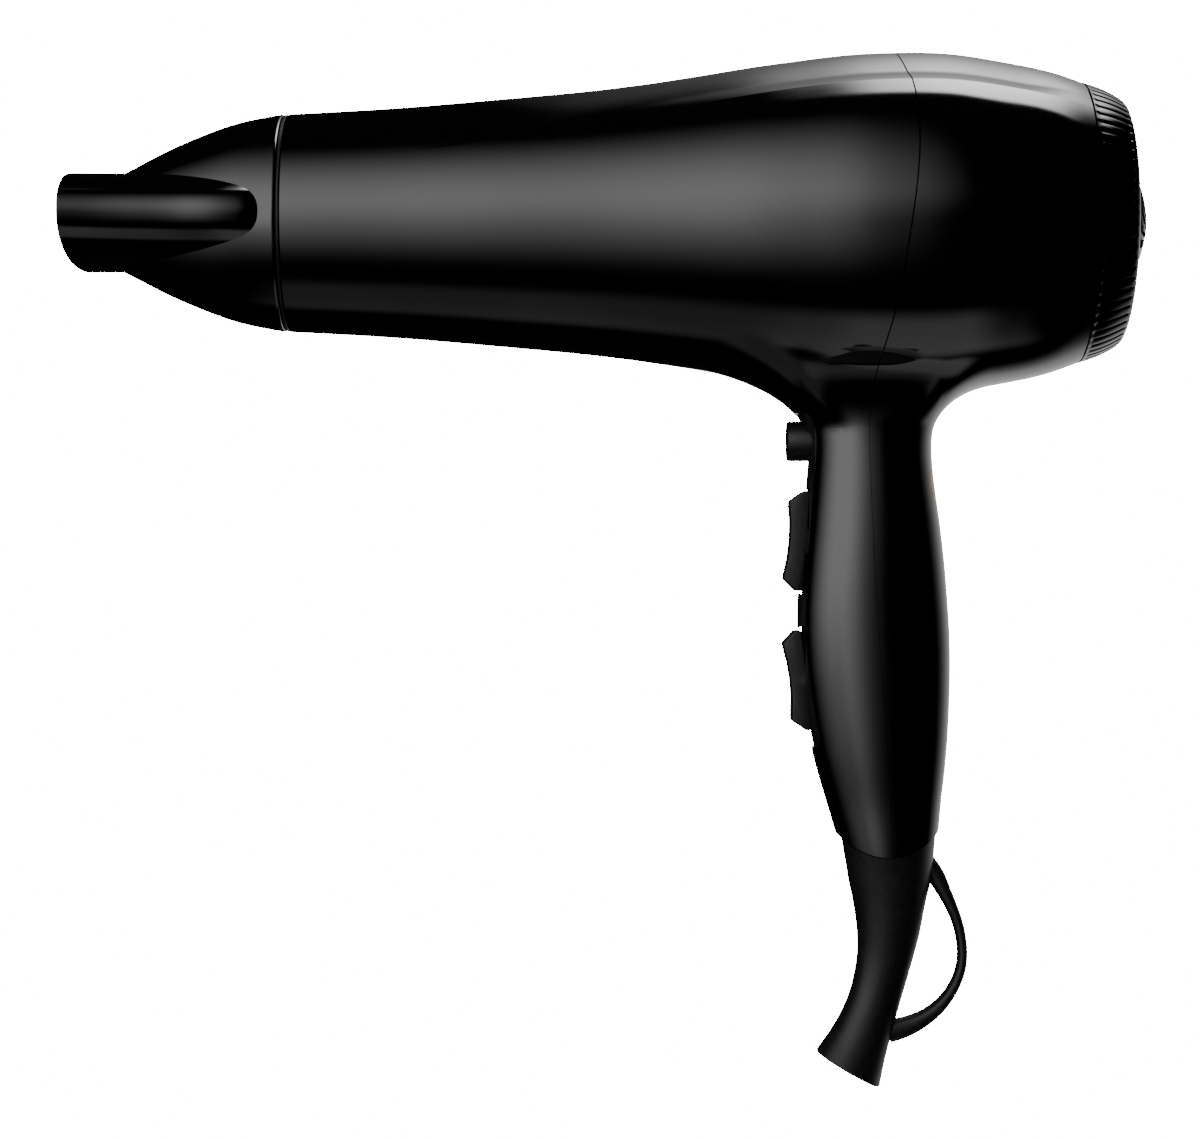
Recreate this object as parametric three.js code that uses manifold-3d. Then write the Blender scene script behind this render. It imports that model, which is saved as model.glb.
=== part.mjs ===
// A hair dryer: barrel along X with the slot nozzle towards -X, handle down -Z, origin in the grip's centre.
// Millimetres, +Z up.
import * as THREE from "three";
import { mergeVertices } from "three/addons/utils/BufferGeometryUtils.js";
import Module from "manifold-3d";

const wasm = await Module();
wasm.setup();

// ---- driving dimensions ----
const GAP = 0.3; // between pieces that touch
const SHELL_WALL = 2.2;
const BARREL_AXIS = 105.2; // height of the barrel's axis
const BARREL_FRONT = -154.3;
const BARREL_REAR = 54.3;
const SLOT_PLANE = -210.5; // the nozzle's outlet
const SLOT_THICKNESS = 24.6;
const NOZZLE_WALL = 1.8;
const AROUND_BARREL = 24;
const AROUND_HANDLE = 16;

// The barrel's outer radius at stations along X.
const BARREL = [
  [-154.3, 28.75], [-125, 30.4], [-99, 32.6], [-72, 35.2], [-46, 38.9], [-32, 41.2], [-19, 43],
  [-6, 44.5], [4.5, 45], [20, 44.7], [34, 42.6], [47, 39.7], [54.3, 37.1],
];

// The nozzle's blade: X, half width, and the exponent of its superellipse section.
const BLADE = [
  [SLOT_PLANE, 34, 2.8], [-200, 32.4, 2.5], [-190, 31.3, 2.2], [-176, 30.6, 2], [-166, 29.8, 2],
  [-160, 28.1, 2], [-158, 26.9, 2],
];

// The handle's outline: height, front edge, back edge, half width.
const HANDLE = [
  [84, -44, 38, 27], [68, -44, 38, 27], [64.5, -37, 33, 23.5], [61, -29, 27.3, 20.5], [57, -23.3, 21.5, 18],
  [53, -20, 18, 16.8], [49, -17.9, 15.9, 16], [44, -17.2, 15.5, 16], [37, -17.8, 16.2, 16.2],
  [24, -18.9, 18, 16.6], [8, -20.1, 19.6, 16.6], [-5, -20.2, 20.4, 16.3], [-22, -18.4, 20.3, 15.6],
  [-38, -15.2, 19.3, 14.4], [-50, -11.7, 18, 13.2], [-62, -8.2, 16.7, 12.4], [-72, -5.6, 14.6, 11],
];
const HANDLE_ROUNDNESS = 2.3; // exponent of the handle's superellipse sections

// Where the two casings meet, seen from the side: X and Z down the barrel and the handle.
const PARTING = [
  [4.8, 152], [7.6, 137], [7.6, 115], [5, 95], [2.2, 77.7], [-1.5, 60.7], [-2, 40], [0, 0], [4, -58],
  [4.4, -75],
];
const SEAM_LOW = -62; // lowest point of the seam between the handle and the boot
const SEAM_CENTRE = 3.2;
const SEAM_CURVE = 0.033;

// The switches on the front of the handle.
const PANEL = { low: -33.5, high: 54.5, halfWidth: 8.2, wall: 2.4 };
const ROCKERS = [
  { key: "speed", x: -19.1, z: 20.95, tilt: 4.4 },
  { key: "heat", x: -18.9, z: -15.9, tilt: -6.6 },
];
const ROCKER = { halfLength: 13.25, halfWidth: 5, height: 3.9, pivotDepth: 6.2, pinRadius: 1.2 };
const BUTTON = { z: 47.4, radius: 5.3, front: -22.8, flangeRadius: 6.4 };
const LENS = { low: 26.5, high: 43.7, halfWidth: 6.9, wall: 2 };

// The boot's centreline and its half sizes: X, Z, lean towards -X in degrees, in the side view, across.
const BOOT = [
  [4.25, -62, 0, 12.45, 12.4], [4.55, -68, 0, 11.2, 11.1], [4.5, -74, 0, 9.8, 9.9], [4.25, -82, 3, 8.45, 8.6],
  [3.4, -88.5, 9, 7.5, 7.6], [2, -95, 15, 7, 7], [0.2, -101.5, 20, 6.9, 6.9], [-2, -107.8, 24, 7.4, 7.4],
  [-4.2, -113.3, 27, 8.3, 8.3], [-6.45, -118.75, 29.7, 9.6, 9.6],
];
const BOOT_ROUNDNESS = 2.1;
const CORD_BORE = 4;
const CORD_MOUTH = 6;
const LOOP = {
  centre: [
    [12.5, -61], [16.5, -67.3], [19.3, -72.6], [22.1, -78.9], [23.7, -86], [23.6, -91.4], [21.6, -97.2],
    [18.1, -102.1], [12.9, -106.1], [6.7, -108.6], [3.2, -109.8],
  ],
  halfWidth: 2.4,
  halfThickness: 1.6,
};

const HEATER = { front: -137, rear: -54, tube: 25.4, coilRadius: 20, wire: 0.7, turns: 7 };
const FAN = { blades: 9, root: 8.6, tip: 33.2, chord: 13, thickness: 1.3 };
const SHAFT_RADIUS = 1.5;
const SHAFT_BORE = SHAFT_RADIUS + GAP;
const LEAD_RADIUS = 0.9;
const CLAMP = { z: -36, screwY: 6.5, screwHole: 1.4 };
const BOSS = { hole: 1.8, headHole: 3.2 };
const SCREWS = [
  { name: "handle_screw_upper", z: 37.6, head: 13.3 },
  { name: "handle_screw_lower", z: -46, head: 12 },
];

// ---- materials ----
function material(color, roughness, metalness = 0) {
  return new THREE.MeshStandardMaterial({ color, roughness, metalness });
}
const gloss = material(0x0b0b0c, 0.16);
const satin = material(0x151516, 0.45);
const rubber = material(0x1a1a1b, 0.6);
const bright = material(0xc9cacc, 0.22, 1);
const steel = material(0x9a9c9f, 0.38, 1);
const brass = material(0xb8935a, 0.35, 1);
const copper = material(0xb8643a, 0.35, 1);
const mica = material(0xb9ad93, 0.7);
const red = material(0xb3121c, 0.2);
const whitePlastic = material(0xdedcd6, 0.5);
const greenBoard = material(0x1f5b34, 0.5);
const redLead = material(0xa01818, 0.45);
const blueLead = material(0x1c3f8f, 0.45);

const dryer = new THREE.Group();
const barrel = new THREE.Group(); // its axis is the barrel's
barrel.position.z = BARREL_AXIS;
dryer.add(barrel);

// ---- solids ----
// A closed geometry as a solid with its faces pointing out.
function solid(geometry) {
  const bare = geometry.clone();
  bare.deleteAttribute("normal");
  bare.deleteAttribute("uv");
  const merged = mergeVertices(bare, 1e-4);
  const corners = merged.index.array;
  const triangles = [];
  for (let i = 0; i < corners.length; i += 3) {
    const [a, b, c] = [corners[i], corners[i + 1], corners[i + 2]];
    if (a !== b && b !== c && c !== a) triangles.push([a, b, c]);
  }
  const vertProperties = merged.attributes.position.array;
  const made = (order) => new wasm.Manifold(
    new wasm.Mesh({ numProp: 3, vertProperties, triVerts: new Uint32Array(order) }),
  );
  const outward = made(triangles.flat());
  return outward.volume() > 0 ? outward : made(triangles.flatMap(([a, b, c]) => [a, c, b]));
}

function joined(...solids) {
  return solids.reduce((whole, next) => whole.add(next));
}

function cut(body, ...tools) {
  return tools.reduce((left, tool) => left.subtract(tool), body);
}

// Puts a solid in the model as a named mesh.
function piece(name, body, look, group = dryer) {
  const mesh = body.getMesh();
  const indexed = new THREE.BufferGeometry();
  indexed.setAttribute("position", new THREE.BufferAttribute(mesh.vertProperties, 3));
  indexed.setIndex(new THREE.BufferAttribute(mesh.triVerts, 1));
  const geometry = indexed.toNonIndexed();
  geometry.computeVertexNormals();
  const made = new THREE.Mesh(geometry, look);
  made.name = name;
  group.add(made);
  return made;
}

function block(x0, x1, y0, y1, z0, z1) {
  const box = new THREE.BoxGeometry(x1 - x0, y1 - y0, z1 - z0);
  return solid(box.translate((x0 + x1) / 2, (y0 + y1) / 2, (z0 + z1) / 2));
}

// A solid of revolution about X from a closed outline of [x, radius].
function turned(outline, around = AROUND_BARREL) {
  const closed = [...outline, outline[0]].map(([x, r]) => new THREE.Vector2(r, x));
  return solid(new THREE.LatheGeometry(closed, around).rotateZ(-Math.PI / 2));
}

// A solid of revolution about X whose outline runs from the axis back to the axis.
function turnedFull(stations, around = AROUND_BARREL) {
  const first = new THREE.Vector2(0, stations[0][0]);
  const last = new THREE.Vector2(0, stations[stations.length - 1][0]);
  const outline = [first, ...stations.map(([x, r]) => new THREE.Vector2(r, x)), last];
  return solid(new THREE.LatheGeometry(outline, around).rotateZ(-Math.PI / 2));
}

function ring(x0, x1, inner, outer, around = AROUND_BARREL) {
  return turned([[x0, inner], [x1, inner], [x1, outer], [x0, outer]], around);
}

// A round bar between two points.
function rod(from, to, radius, around = 16, endRadius = radius) {
  const [a, b] = [new THREE.Vector3(...from), new THREE.Vector3(...to)];
  const bar = new THREE.CylinderGeometry(endRadius, radius, a.distanceTo(b), around);
  const way = b.clone().sub(a).normalize();
  bar.applyQuaternion(new THREE.Quaternion().setFromUnitVectors(new THREE.Vector3(0, 1, 0), way));
  const middle = a.add(b).multiplyScalar(0.5);
  return solid(bar.translate(middle.x, middle.y, middle.z));
}

// A side-view outline of [x, z], drawn out along Y.
function slab(outline, y0, y1) {
  const shape = new THREE.Shape(outline.map(([x, z]) => new THREE.Vector2(x, z)));
  const drawn = new THREE.ExtrudeGeometry(shape, { depth: y1 - y0, bevelEnabled: false });
  return solid(drawn.rotateX(Math.PI / 2).translate(0, y1, 0));
}

// A bar of elliptical section along a smooth line.
function tube(points, steps, halfA, halfB = halfA, around = 8) {
  const section = new THREE.Shape();
  section.absellipse(0, 0, halfA, halfB, 0, 2 * Math.PI);
  const outline = section.getSpacedPoints(around).slice(0, around);
  const path = new THREE.CatmullRomCurve3(points.map((p) => new THREE.Vector3(...p)));
  const options = { steps, extrudePath: path, bevelEnabled: false };
  return solid(new THREE.ExtrudeGeometry(new THREE.Shape(outline), options));
}

// A closed loft: a cylinder's rings, each moved onto a section, given as place(angle, reach).
function loft(sections, around) {
  const last = sections.length - 1;
  const skin = new THREE.CylinderGeometry(1, 1, 1, around, last);
  const at = skin.getAttribute("position");
  for (let i = 0; i < at.count; i++) {
    const section = sections[Math.round((0.5 - at.getY(i)) * last)];
    const spot = section(Math.atan2(at.getZ(i), at.getX(i)), Math.hypot(at.getX(i), at.getZ(i)));
    at.setXYZ(i, ...spot);
  }
  return solid(skin);
}

// One quarter-symmetric rounded section, as [u, v] of half sizes a and b.
function rounded(angle, reach, a, b, roundness) {
  const power = 2 / roundness;
  const along = (t, size) => Math.sign(t) * Math.abs(t) ** power * size * reach;
  return [along(Math.cos(angle), a), along(Math.sin(angle), b)];
}

// ---- the body's outer shape, inset by a wall ----
function barrelSolid(inset, from, to) {
  const inside = BARREL.filter(([x]) => x > from && x < to);
  const ends = [[from, BARREL[0][1]], ...inside, [to, BARREL[BARREL.length - 1][1]]];
  return turnedFull(ends.map(([x, r]) => [x, r - inset])).translate([0, 0, BARREL_AXIS]);
}

function handleSolid(inset) {
  const sections = HANDLE.map(([z, front, back, halfWidth]) => (angle, reach) => {
    const half = (back - front) / 2 - inset;
    const [u, v] = rounded(angle, reach, half, halfWidth - inset, HANDLE_ROUNDNESS);
    return [(front + back) / 2 + u, v, z];
  });
  return loft(sections, AROUND_HANDLE);
}

// Everything above the boot's seam, lifted by a distance.
function aboveSeam(lift) {
  const curve = [];
  for (let x = -30; x <= 40; x += 5) curve.push([x, SEAM_LOW + lift + SEAM_CURVE * (x - SEAM_CENTRE) ** 2]);
  return slab([...curve, [260, 20], [260, 200], [-260, 200], [-260, 20]], -70, 70);
}

function frontHalf(shift) {
  const line = PARTING.map(([x, z]) => [x + shift, z]);
  return slab([...line, [-230, -90], [-230, 190], [line[0][0], 190]], -70, 70);
}

const handleOuter = handleSolid(0);
const handleInner = handleSolid(SHELL_WALL);

// ---- casings ----
// The red inlay's outline, round at both ends, drawn through the back of the handle.
function lensPlug(grow) {
  const radius = LENS.halfWidth + grow;
  const [low, high] = [LENS.low + LENS.halfWidth, LENS.high - LENS.halfWidth];
  const ends = [rod([8, 0, low], [30, 0, low], radius), rod([8, 0, high], [30, 0, high], radius)];
  return joined(...ends, block(8, 30, -radius, radius, low, high));
}

function panelPlug(grow) {
  const half = PANEL.halfWidth + grow;
  return block(-45, -9, -half, half, PANEL.low - grow, PANEL.high + grow);
}

// A web that ties a screw boss to one side wall, leaving the other side for the leads.
function bossWeb(x0, x1, z) {
  return block(x0, x1, 0, 20, z - 1, z + 1).intersect(handleSolid(SHELL_WALL - 0.7));
}

function casings() {
  const outer = joined(barrelSolid(0, BARREL_FRONT, BARREL_REAR), handleOuter);
  const inner = joined(barrelSolid(SHELL_WALL, BARREL_FRONT - 1, BARREL_REAR + 1), handleInner);
  const shell = cut(outer, inner).intersect(aboveSeam(0));
  const [upper, lower] = SCREWS;
  const clampPost = (y) => block(-14, 0, y - 1.6, y + 1.6, CLAMP.z - 2, CLAMP.z + 2)
    .intersect(handleSolid(SHELL_WALL - 0.7));
  const frontHoles = [
    rod([-9, 0, upper.z], [4, 0, upper.z], BOSS.hole),
    rod([-9, 0, lower.z], [7, 0, lower.z], BOSS.hole),
    ...[-CLAMP.screwY, CLAMP.screwY].map((y) => rod([-7, y, CLAMP.z], [4, y, CLAMP.z], CLAMP.screwHole, 10)),
  ];
  const lowerFront = joined(
    shell.intersect(frontHalf(0)),
    rod([-11.6, 0, lower.z], [5.4, 0, lower.z], 3.4),
    clampPost(CLAMP.screwY),
    clampPost(-CLAMP.screwY),
  );
  // The upper boss stands on its web, behind the switch strip's opening.
  const upperBoss = joined(rod([-14, 0, upper.z], [2.2, 0, upper.z], 2.9), bossWeb(-12, -3, upper.z));
  const front = cut(joined(cut(lowerFront, panelPlug(GAP)), upperBoss), ...frontHoles);
  const rear = joined(
    cut(shell, frontHalf(GAP)),
    rod([2.6, 0, upper.z], [14, 0, upper.z], 4.2),
    bossWeb(4, 13.6, upper.z),
    rod([5.8, 0, lower.z], [17.2, 0, lower.z], 4.2),
  );
  const screwHoles = SCREWS.flatMap(({ z, head }) => [
    rod([-9, 0, z], [20, 0, z], BOSS.hole),
    rod([head - 2, 0, z], [24, 0, z], BOSS.headHole),
  ]);
  piece("front_shell", front, gloss);
  piece("rear_shell", cut(rear, lensPlug(GAP), ...screwHoles), gloss);
}

function handleScrews() {
  for (const { name, z, head } of SCREWS) {
    const shank = rod([head - 19, 0, z], [head - 1.6, 0, z], 1.45, 10);
    const slot = block(head - 0.8, head + 1, -2, 2, z - 0.4, z + 0.4);
    piece(name, cut(joined(shank, rod([head - 1.7, 0, z], [head, 0, z], 2.8)), slot), steel);
  }
}

// ---- nozzle ----
function slotLoft(stations, inset) {
  const half = SLOT_THICKNESS / 2 - inset;
  return loft(stations.map(([x, halfWidth, roundness]) => (angle, reach) =>
    [x, ...rounded(angle, reach, halfWidth - inset, half, roundness)]), 28);
}

function nozzle() {
  const dome = [
    [-155.7, 28.75], [-162.4, 27.6], [-168.8, 26.1], [-178.3, 22.7], [-187.9, 18.5], [-197.4, 13.6],
    [-203, 9.5], [-206, 5],
  ];
  const hollow = [
    [-150, 26.95], [-155.7, 26.95], [-162.4, 25.8], [-168.8, 24.2], [-178.3, 20.8], [-187.9, 16.6],
    [-196, 12], [-201, 7.5], [-203.5, 3],
  ];
  const [outlet, ...rest] = BLADE;
  const outer = joined(turnedFull(dome), slotLoft(BLADE, 0));
  const air = slotLoft([[SLOT_PLANE - 1, outlet[1], outlet[2]], ...rest.slice(0, -2)], NOZZLE_WALL);
  piece("nozzle", cut(outer, turnedFull(hollow), air), gloss, barrel);
  const snap = [
    [-161.5, 25.1], [-155.4, 25.1], [-155.4, 28.6], [-154.6, 28.6], [-154.6, 26.2], [-147, 26.2],
    [-147, 24.4], [-161.5, 23.6],
  ];
  piece("nozzle_ring", turned(snap), satin, barrel);
}

// ---- heater ----
function helix(x0, x1, turns, radius, phase, stepsPerTurn = 10) {
  const points = [];
  for (let i = 0; i <= turns * stepsPerTurn; i++) {
    const t = i / (turns * stepsPerTurn);
    const angle = phase + 2 * Math.PI * turns * t;
    points.push([x0 + (x1 - x0) * t, radius * Math.cos(angle), radius * Math.sin(angle)]);
  }
  return points;
}

function heater() {
  const spokes = [0, 60, 120].map((turn) =>
    block(-144.2, -142.4, -25.4, 25.4, -0.6, 0.6).rotate([turn, 0, 0]));
  const hoop = ring(-144.5, -142, 12, 13.3, 12);
  piece("outlet_grille", joined(ring(-145.5, -141.5, 24.6, 26.6, 20), hoop, ...spokes), satin, barrel);
  const tubeWall = 0.7;
  const tubeWrap = ring(HEATER.front - 2, HEATER.rear + 2, HEATER.tube - tubeWall, HEATER.tube);
  piece("mica_tube", tubeWrap, mica, barrel);
  const middle = (HEATER.front + HEATER.rear) / 2;
  const tab = 7;
  const board = () => joined(
    block(HEATER.front, HEATER.rear, -17.6, 17.6, -0.5, 0.5),
    block(HEATER.front, HEATER.front + tab, -24.2, 24.2, -0.5, 0.5),
    block(HEATER.rear - tab, HEATER.rear, -24.2, 24.2, -0.5, 0.5),
  );
  const frontSlot = block(HEATER.front - 1, middle + GAP, -0.8, 0.8, -1, 1);
  const rearSlot = block(middle - GAP, HEATER.rear + 1, -0.8, 0.8, -1, 1);
  piece("mica_board_flat", cut(board(), frontSlot), mica, barrel);
  piece("mica_board_upright", cut(board(), rearSlot).rotate([90, 0, 0]), mica, barrel);
  const { turns, coilRadius, wire } = HEATER;
  const coil = (x0, x1) => tube(helix(x0, x1, turns, coilRadius, 0.4), turns * 9, wire, wire, 4);
  piece("heating_coil_front", coil(-127, -99), steel, barrel);
  piece("heating_coil_rear", coil(-92, -64), steel, barrel);
  piece("thermostat", block(-82, -70, 4, 13, 0.9, 5.4), brass, barrel);
  piece("thermal_fuse", rod([-86, -8, 3.2], [-68, -8, 3.2], 2.1, 12), whitePlastic, barrel);
  const stem = rod([-139, 16, -16], [-60, 16, -16], 1.2, 8);
  piece("ion_emitter", joined(stem, rod([-140.6, 16, -16], [-139, 16, -16], 0.5, 6)), steel, barrel);
}

// ---- motor and fan ----
function motor() {
  const wallOuter = [[-50, 27.2], [-38, 31], [-22, 35], [-10, 36.2], [18, 36.2]];
  const wallInner = [[18, 34.8], [-10, 34.8], [-22, 33.6], [-38, 29.6], [-50, 25.8]];
  const wall = turned([...wallOuter, ...wallInner], 20);
  const vane = block(-45, -15, 16, 40, -0.6, 0.6);
  const vanes = [];
  for (let i = 0; i < 7; i++) vanes.push(vane.rotate([(360 * i) / 7, 0, 0]));
  const inside = turnedFull([[-50, 26.5], [-38, 30.3], [-22, 34.3], [-10, 35.5], [18, 35.5]], 20);
  const motorSleeve = ring(-47, -12.4, 15.4, 16.8, 20);
  piece("fan_duct", joined(wall, motorSleeve, joined(...vanes).intersect(inside)), satin, barrel);
  piece("duct_seal", ring(10, 14, 36.6, 42, 24), rubber, barrel);

  const can = [[-46, 13.6], [-46, 14.8], [-13, 14.8], [-13, 3.1], [-14.2, 3.1], [-14.2, 13.6]];
  piece("motor_can", turned(can, 20), steel, barrel);
  piece("motor_end_cap", ring(-46, -43.6, 3.1, 13.3, 20), whitePlastic, barrel);
  piece("motor_bearing_front", ring(-46.4, -43, SHAFT_BORE, 2.8, 10), brass, barrel);
  piece("motor_bearing_rear", ring(-14.6, -10.8, SHAFT_BORE, 2.8, 10), brass, barrel);
  const magnet = ring(-40, -19, 11.9, 13.2, 20);
  piece("motor_magnet_left", magnet.intersect(block(-41, -18, -15, -4, -15, 15)), satin, barrel);
  piece("motor_magnet_right", magnet.intersect(block(-41, -18, 4, 15, -15, 15)), satin, barrel);

  let stack = ring(-37, -21, SHAFT_BORE, 11.2, 20);
  const winding = block(-38, -20, 6.5, 12, -1.5, 1.5);
  for (let i = 0; i < 5; i++) stack = stack.subtract(winding.rotate([72 * i, 0, 0]));
  piece("motor_rotor", stack, steel, barrel);
  piece("commutator", ring(-42.6, -37.6, SHAFT_BORE, 3.8, 12), copper, barrel);
  piece("motor_shaft", rod([-48, 0, 0], [15, 0, 0], SHAFT_RADIUS, 10), bright, barrel);
}

// A fan blade: a thin box turned more and more flat towards its tip.
function fanBlade() {
  const { root, tip, chord, thickness } = FAN;
  const blade = new THREE.BoxGeometry(tip - root, chord, thickness, 3, 1, 1);
  const at = blade.getAttribute("position");
  for (let i = 0; i < at.count; i++) {
    const share = at.getX(i) / (tip - root) + 0.5;
    const pitch = THREE.MathUtils.degToRad(38 + 22 * share);
    const [along, up] = [at.getY(i) * (1 + 0.1 * share), at.getZ(i)];
    const x = 4 + along * Math.cos(pitch) - up * Math.sin(pitch);
    const y = along * Math.sin(pitch) + up * Math.cos(pitch);
    at.setXYZ(i, x, y, root + (tip - root) * share);
  }
  return solid(blade);
}

function fan() {
  const hubOutline = [[-3, SHAFT_BORE], [-3, 9.4], [7, 9.4], [9.4, 7.6], [10.2, 4.6], [10.2, SHAFT_BORE]];
  const hub = turned(hubOutline, 18);
  const blade = fanBlade();
  const blades = [];
  for (let i = 0; i < FAN.blades; i++) blades.push(blade.rotate([(360 * i) / FAN.blades, 0, 0]));
  const bore = rod([-8, 0, 0], [20, 0, 0], SHAFT_BORE, 10);
  piece("fan", cut(joined(hub, ...blades), bore), satin, barrel);
  piece("fan_nut", ring(10.5, 13.6, SHAFT_BORE, 3.5, 6), brass, barrel);
}

// ---- air intake ----
function intake() {
  const bars = [0, 60, 120].map((turn) => block(44.6, 46.4, -35.8, 35.8, -0.8, 0.8).rotate([turn, 0, 0]));
  const hoop = ring(44.5, 46.5, 18, 19.5, 16);
  piece("intake_guard", joined(ring(43.5, 47, 34.8, 36.8, 20), hoop, ...bars), satin, barrel);

  let mesh = turnedFull([[57, 31.4], [57.8, 31.4]], 24);
  for (const [count, radius] of [[4, 8], [8, 21]]) {
    for (let i = 0; i < count; i++) {
      const angle = (2 * Math.PI * i) / count;
      const [y, z] = [radius * Math.cos(angle), radius * Math.sin(angle)];
      mesh = mesh.subtract(rod([56, y, z], [59, y, z], 4, 6));
    }
  }
  piece("intake_mesh", mesh, steel, barrel);

  const rim = [
    [50.5, 34.4], [54.6, 34.4], [54.6, 37], [58.5, 35.8], [62.6, 33.9], [64.9, 32.4], [65.5, 31.2],
    [65.5, 27.5], [63.6, 27.5], [62.6, 30.4], [58.2, 32.2], [50.5, 32.8],
  ];
  const spokes = [];
  for (let i = 0; i < 6; i++) {
    spokes.push(block(63.7, 65.2, -0.9, 0.9, 18.4, 28.4).rotate([60 * i, 0, 0]));
  }
  piece("rear_cover", joined(turned(rim), ring(62.8, 65.3, 17, 19.3, 20), ...spokes), gloss, barrel);
  const dome = turned([
    [65.6, 19.3], [67.6, 17.6], [69.8, 12.5], [71.4, 6], [71.8, 2], [70.2, 2], [69.8, 6], [68.2, 12],
    [66.6, 15.6], [65.6, 17],
  ], 20);
  const slots = [];
  for (let i = 0; i < 6; i++) slots.push(block(60, 75, -1.6, 1.6, 5, 14.6).rotate([60 * i, 0, 0]));
  const cap = turnedFull([[69.4, 3.4], [72, 3.2], [72.4, 1.6]], 12);
  piece("rear_grille", joined(cut(dome, ...slots), cap), gloss, barrel);
}

// ---- switches ----
function rockerSet({ key, x, z, tilt }) {
  const place = new THREE.Group();
  place.position.set(x, 0, z);
  place.rotation.y = THREE.MathUtils.degToRad(tilt);
  dryer.add(place);
  const { halfLength, halfWidth, height, pivotDepth, pinRadius } = ROCKER;
  const half = [
    [pivotDepth + 1.8, 1.8], [1.4, 3.4], [1.4, halfLength - 1.3], [0.5, halfLength], [-0.5, halfLength],
    [-height, halfLength - 2.9], [-height + 0.75, 5], [-height + 1, 0],
  ];
  const mirrored = half.slice(0, -1).reverse().map(([u, v]) => [u, -v]);
  const cap = slab([...half, ...mirrored], -halfWidth, halfWidth);
  const pin = rod([pivotDepth, -6.7, 0], [pivotDepth, 6.7, 0], pinRadius, 12);
  piece(`${key}_rocker`, joined(cap, pin), satin, place);

  const ear = (y) => cut(
    block(pivotDepth - 1.6, 9, y - 0.8, y + 0.8, -2.6, 2.6),
    rod([pivotDepth, y - 2, 0], [pivotDepth, y + 2, 0], pinRadius + GAP, 12),
  );
  const box = block(8.6, 16.2, -6.6, 6.6, -12, 12);
  const pocket = block(8, 11, -5, 5, -9, 9);
  piece(`${key}_switch`, joined(cut(box, pocket), ear(6.2), ear(-6.2)), whitePlastic, place);
}

function rockerHole({ x, z, tilt }) {
  const hole = block(-12, 12, -ROCKER.halfWidth - 0.4, ROCKER.halfWidth + 0.4, -14.4, 14.4);
  return hole.rotate([0, tilt, 0]).translate([x, 0, z]);
}

function switches() {
  const skin = cut(handleOuter, handleSolid(PANEL.wall)).intersect(panelPlug(0));
  const buttonHole = rod([-40, 0, BUTTON.z], [-6, 0, BUTTON.z], BUTTON.radius + 0.4, 18);
  piece("switch_panel", cut(skin, buttonHole, ...ROCKERS.map(rockerHole)), satin);
  ROCKERS.forEach(rockerSet);

  const { z, radius, front, flangeRadius } = BUTTON;
  const cap = joined(
    rod([front, 0, z], [front + 0.8, 0, z], radius - 0.7, 18, radius),
    rod([front + 0.79, 0, z], [-12.2, 0, z], radius, 18),
    rod([-13.2, 0, z], [-12.2, 0, z], flangeRadius, 18),
    rod([-12.3, 0, z], [-8, 0, z], 1.3, 10),
  );
  piece("cool_shot_button", cap, satin);
  const coil = helix(-11.6, -6.2, 4, 3.3, 0, 6).map(([u, v, w]) => [u, v, w + z]);
  piece("cool_shot_spring", tube(coil, 28, 0.4, 0.4, 4), steel);
  piece("cool_shot_switch", block(-5.6, 3, -5, 5, z - 5, z + 5), satin);
}

// ---- electrics in the handle ----
function electrics() {
  piece("control_board", block(1.5, 3.1, -10, 10, -30, 30), greenBoard);
  piece("capacitor", block(3.4, 11.4, -8, 2, -28, -14), whitePlastic);
  piece("ion_generator", block(3.4, 12.6, -7, 7, -9, 14), satin);
  piece("ion_lens", cut(handleOuter, handleSolid(LENS.wall)).intersect(lensPlug(0)), red);
  const ledHead = rod([10, 0, 29], [13.4, 0, 29], 2, 12);
  piece("ion_led", joined(rod([3.4, 0, 29], [12.4, 0, 29], 1.2, 10), ledHead), red);

  const { z, screwY, screwHole } = CLAMP;
  const bridge = joined(
    block(4.4, 7.6, -8.6, 8.6, z - 3, z + 3),
    block(0.9, 4.5, -8.6, -4.6, z - 2, z + 2),
    block(0.9, 4.5, 4.6, 8.6, z - 2, z + 2),
  );
  const clampHoles = [-screwY, screwY].map((y) => rod([-1, y, z], [9, y, z], screwHole, 10));
  piece("cord_clamp", cut(bridge, ...clampHoles), satin);
  for (const [side, y] of [["left", -screwY], ["right", screwY]]) {
    const screw = joined(rod([-6.4, y, z], [8, y, z], 1.1, 10), rod([7.9, y, z], [9.3, y, z], 2, 12));
    piece(`cord_clamp_screw_${side}`, screw, steel);
  }
  const lead = (side) => [
    [2.2, side * 5.4, -50.5], [2.2, side * 5.6, -45], [2.2, side * 2.4, -39.5], [2, side * 2, -35.5],
    [0.2, side * 3, -30.5], [0.2, side * 3.4, -20], [0.2, side * 3.4, -4],
  ];
  piece("lead_live", tube(lead(-1), 18, LEAD_RADIUS, LEAD_RADIUS, 6), redLead);
  piece("lead_neutral", tube(lead(1), 18, LEAD_RADIUS, LEAD_RADIUS, 6), blueLead);
  const heaterLead = [
    [0.2, -5, 20], [0.2, -6, 30], [-1, -7.5, 40], [-6, -8, 54], [-18, -7, 65], [-34, -6, 70.2],
    [-50, -5, 76],
  ];
  piece("lead_heater", tube(heaterLead, 26, LEAD_RADIUS, LEAD_RADIUS, 6), redLead);
}

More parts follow.
